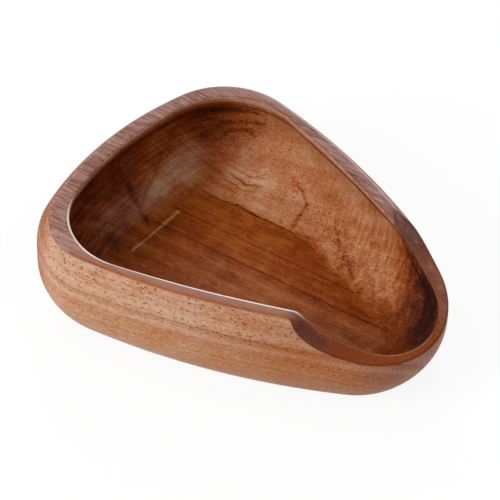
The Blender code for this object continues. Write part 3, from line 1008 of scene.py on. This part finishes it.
def make_wood(name, tone, shift):
    """Oiled acacia for one board, with its own tone and its own fibres."""
    material = bpy.data.materials.new(name)
    material.use_nodes = True
    tree = material.node_tree
    finish = tree.nodes["Principled BSDF"]
    finish.inputs["Specular IOR Level"].default_value = SATIN
    wood = use_group(tree, acacia, {"Tone": tone, "Shift": shift})
    bump = tree.nodes.new("ShaderNodeBump")
    bump.inputs["Distance"].default_value = RELIEF_DISTANCE
    plug(tree, bump.inputs["Height"], wood["Relief"])
    plug(tree, finish.inputs["Base Color"], wood["Color"])
    plug(tree, finish.inputs["Roughness"], wood["Roughness"])
    plug(tree, finish.inputs["Normal"], Value(tree, bump.outputs[0]))
    return material


# The blank is four boards of the same wood, planed and glued edge to edge before it is carved.
# The glue lines are hair-thin and run with the grain, a few degrees off the tray's long axis.
GLUE_LINE_WIDTH = 0.00004
SAW_TOLERANCE = 0.0000001
BOARDS = {
    "near_board": (None, GLUE_LINES[0], {"tone": 0.0, "shift": 0.0}),
    "near_strip": (GLUE_LINES[0], GLUE_LINES[1], {"tone": 0.01, "shift": 37.0}),
    "far_strip": (GLUE_LINES[1], GLUE_LINES[2], {"tone": 0.03, "shift": 71.0}),
    "far_board": (GLUE_LINES[2], None, {"tone": 0.0, "shift": 113.0}),
}
across_grain = Vector((-math.sin(GRAIN_TURN), math.cos(GRAIN_TURN), 0))


def saw_off(board, offset, side):
    """Saws a board at a glue line, drops what lies beyond it on that side, and closes the sawn face."""
    geometry = board.verts[:] + board.edges[:] + board.faces[:]
    cut = bmesh.ops.bisect_plane(board, geom=geometry, plane_co=across_grain * offset,
                                 plane_no=across_grain * side, clear_outer=True, dist=SAW_TOLERANCE)
    border = [part for part in cut["geom_cut"] if isinstance(part, bmesh.types.BMEdge)]
    for edge in border:
        edge.smooth = False
    bmesh.ops.triangle_fill(board, edges=border, use_beauty=True)


for node, (near_line, far_line, tones) in BOARDS.items():
    solid = bmesh.new()
    solid.from_mesh(blank)
    if near_line is not None:
        saw_off(solid, near_line + GLUE_LINE_WIDTH / 2, -1)
    if far_line is not None:
        saw_off(solid, far_line - GLUE_LINE_WIDTH / 2, 1)
    bmesh.ops.recalc_face_normals(solid, faces=solid.faces[:])
    mesh = bpy.data.meshes.new(f"{node}_carved")
    solid.to_mesh(mesh)
    solid.free()
    mesh.materials.append(make_wood(f"{node}_acacia", **tones))
    board = add_object(f"{node}_carved", mesh)
    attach(board, "root")
    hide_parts(node)

# The tray stands on a plain white table, in a white studio. The camera sees the table as mostly
# lit from within, as a light table is, so only a faint soft shadow stays under the tray.
TABLE_HALF_SIDE = 3
TABLE_WHITE = (0.9, 0.9, 0.9, 1)
TABLE_ROUGHNESS = 0.8
SHADOW_SHARE = 0.1


def seen_or_mirrored(tree):
    """1 where the camera sees the surface itself or its reflection, and 0 where it only gives light."""
    rays = tree.nodes.new("ShaderNodeLightPath")
    return Value(tree, rays.outputs["Is Camera Ray"]).at_least(Value(tree, rays.outputs["Is Glossy Ray"]))


table_mesh = bpy.data.meshes.new("table")
table_shape = bmesh.new()
bmesh.ops.create_grid(table_shape, x_segments=1, y_segments=1, size=TABLE_HALF_SIDE)
table_shape.to_mesh(table_mesh)
table_shape.free()
table = add_object("table", table_mesh)
white = bpy.data.materials.new("white_table")
white.use_nodes = True
white_tree = white.node_tree
paint = white_tree.nodes["Principled BSDF"]
paint.inputs["Base Color"].default_value = TABLE_WHITE
paint.inputs["Roughness"].default_value = TABLE_ROUGHNESS
glow = white_tree.nodes.new("ShaderNodeEmission")
seen = seen_or_mirrored(white_tree)
table_mix = white_tree.nodes.new("ShaderNodeMixShader")
plug(white_tree, table_mix.inputs[0], seen * (1 - SHADOW_SHARE))
white_tree.links.new(paint.outputs[0], table_mix.inputs[1])
white_tree.links.new(glow.outputs[0], table_mix.inputs[2])
white_tree.links.new(table_mix.outputs[0], white_tree.nodes["Material Output"].inputs["Surface"])
table.data.materials.append(white)

ROOM_STRENGTH = 0.38
world = bpy.data.worlds.new("studio")
bpy.context.scene.world = world
world.use_nodes = True
room = world.node_tree.nodes["Background"]
room.inputs["Color"].default_value = (1, 1, 1, 1)
room_seen = seen_or_mirrored(world.node_tree)
plug(world.node_tree, room.inputs["Strength"], room_seen * (1 - ROOM_STRENGTH) + ROOM_STRENGTH)

# The key light is a large soft box in front, with a weaker one behind and a small one at each side.
# Each has a name, azimuth and elevation in degrees, distance and side in metres, and power in watts.
SOFT_BOXES = (
    ("front_soft_box", -26, 32, 1.6, 0.7, 19.0),
    ("left_soft_box", -79, 56, 1.6, 0.4, 4.0),
    ("right_soft_box", 113, 47, 1.6, 0.4, 3.0),
    ("back_soft_box", 215, 26, 1.6, 0.9, 9.0),
)
for name, azimuth, elevation, reach, side, power in SOFT_BOXES:
    lamp = add_object(name, bpy.data.lights.new(name, 'AREA'))
    lamp.data.size = side
    lamp.data.energy = power
    turn, climb = math.radians(azimuth), math.radians(elevation)
    way = Vector((math.sin(turn) * math.cos(climb), -math.cos(turn) * math.cos(climb), math.sin(climb)))
    lamp.matrix_world = Matrix.Translation(way * reach) @ way.to_track_quat('Z', 'Y').to_matrix().to_4x4()

# The camera stands well back with a long lens, and looks down on the near side and into the
# hollow, past the pouring lip. Its place, aim and roll are fitted to the tray's outlines.
AZIMUTH = math.radians(37.527)
ELEVATION = math.radians(43.8)
ROLL = math.radians(0.633)
CAMERA_DISTANCE = 0.96753
AIM = Vector((-0.00535, 0.00084, 0.01875))
LENS = 193.68
CLIP_RANGE = (0.05, 20)
back = Vector((math.sin(AZIMUTH) * math.cos(ELEVATION), -math.cos(AZIMUTH) * math.cos(ELEVATION),
               math.sin(ELEVATION)))
camera = add_object("camera", bpy.data.cameras.new("camera"))
camera.data.lens = LENS
camera.data.clip_start, camera.data.clip_end = CLIP_RANGE
turned = (-back).to_track_quat('-Z', 'Y').to_matrix() @ Matrix.Rotation(ROLL, 3, 'Z')
camera.matrix_world = Matrix.Translation(AIM + back * CAMERA_DISTANCE) @ turned.to_4x4()
bpy.context.scene.camera = camera
bpy.context.scene.view_settings.view_transform = 'Standard'
